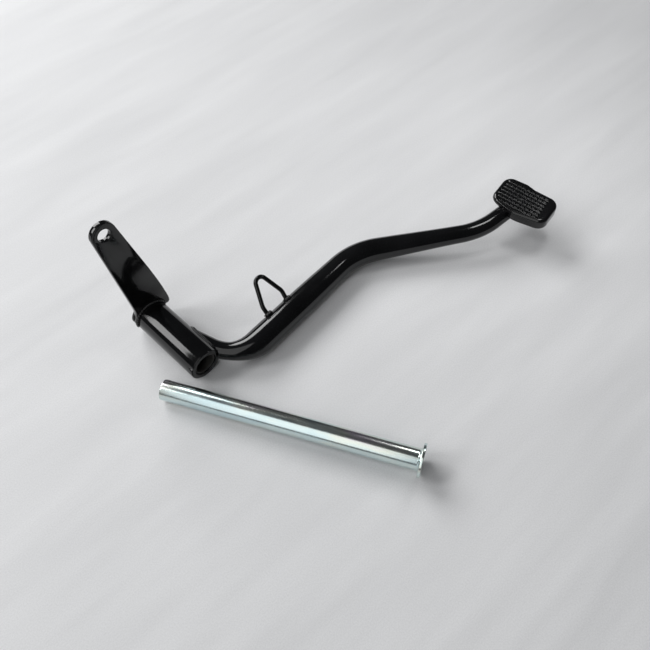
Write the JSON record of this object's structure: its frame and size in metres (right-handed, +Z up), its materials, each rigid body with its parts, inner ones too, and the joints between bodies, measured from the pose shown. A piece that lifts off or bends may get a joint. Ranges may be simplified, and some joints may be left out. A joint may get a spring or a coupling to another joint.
{
  "type": "motorcycle brake pedal with pivot shaft",
  "caption": "Bent tubular foot brake pedal with a pivot boss, a lever plate with an eye, a wire spring loop and a dimpled foot pad, beside its flanged tubular pivot shaft.",
  "frame": {"origin": "middle of the bottom of the whole layout's box, on the surface that it lies on", "axes": "+X forward from the pivot to the foot pad, +Y inboard along the pivot axis, +Z up from the table"},
  "size_m": [0.365, 0.2656, 0.1274],
  "materials": {
    "black_paint": "gloss black paint over steel",
    "zinc_plate": "bright blue-white zinc plating over steel",
    "bush_polymer": "dark bearing polymer"
  },
  "bodies": {
    "shaft": {"shaft_tube": "zinc_plate", "shaft_flange": "zinc_plate", "flange_weld": "zinc_plate"},
    "pedal": {"pivot_boss": "black_paint", "lever_arm": "black_paint", "lever_weld_outboard": "black_paint", "lever_weld_inboard": "black_paint", "pedal_tube": "black_paint", "tube_weld_upper": "black_paint", "tube_weld_lower": "black_paint", "foot_pad": "black_paint", "pad_weld_inboard": "black_paint", "pad_weld_outboard": "black_paint", "spring_loop": "black_paint", "loop_weld_rear": "black_paint", "loop_weld_front": "black_paint", "boss_bush_outboard": "bush_polymer", "boss_bush_inboard": "bush_polymer"}
  },
  "joints": [
    {"name": "pedal_pivot", "type": "hinge", "parent": "shaft", "child": "pedal", "pos_m": [-0.13855, 0.08747, 0.01425], "axis": [0, -1, 0], "range_deg": [0, 15]}
  ]
}
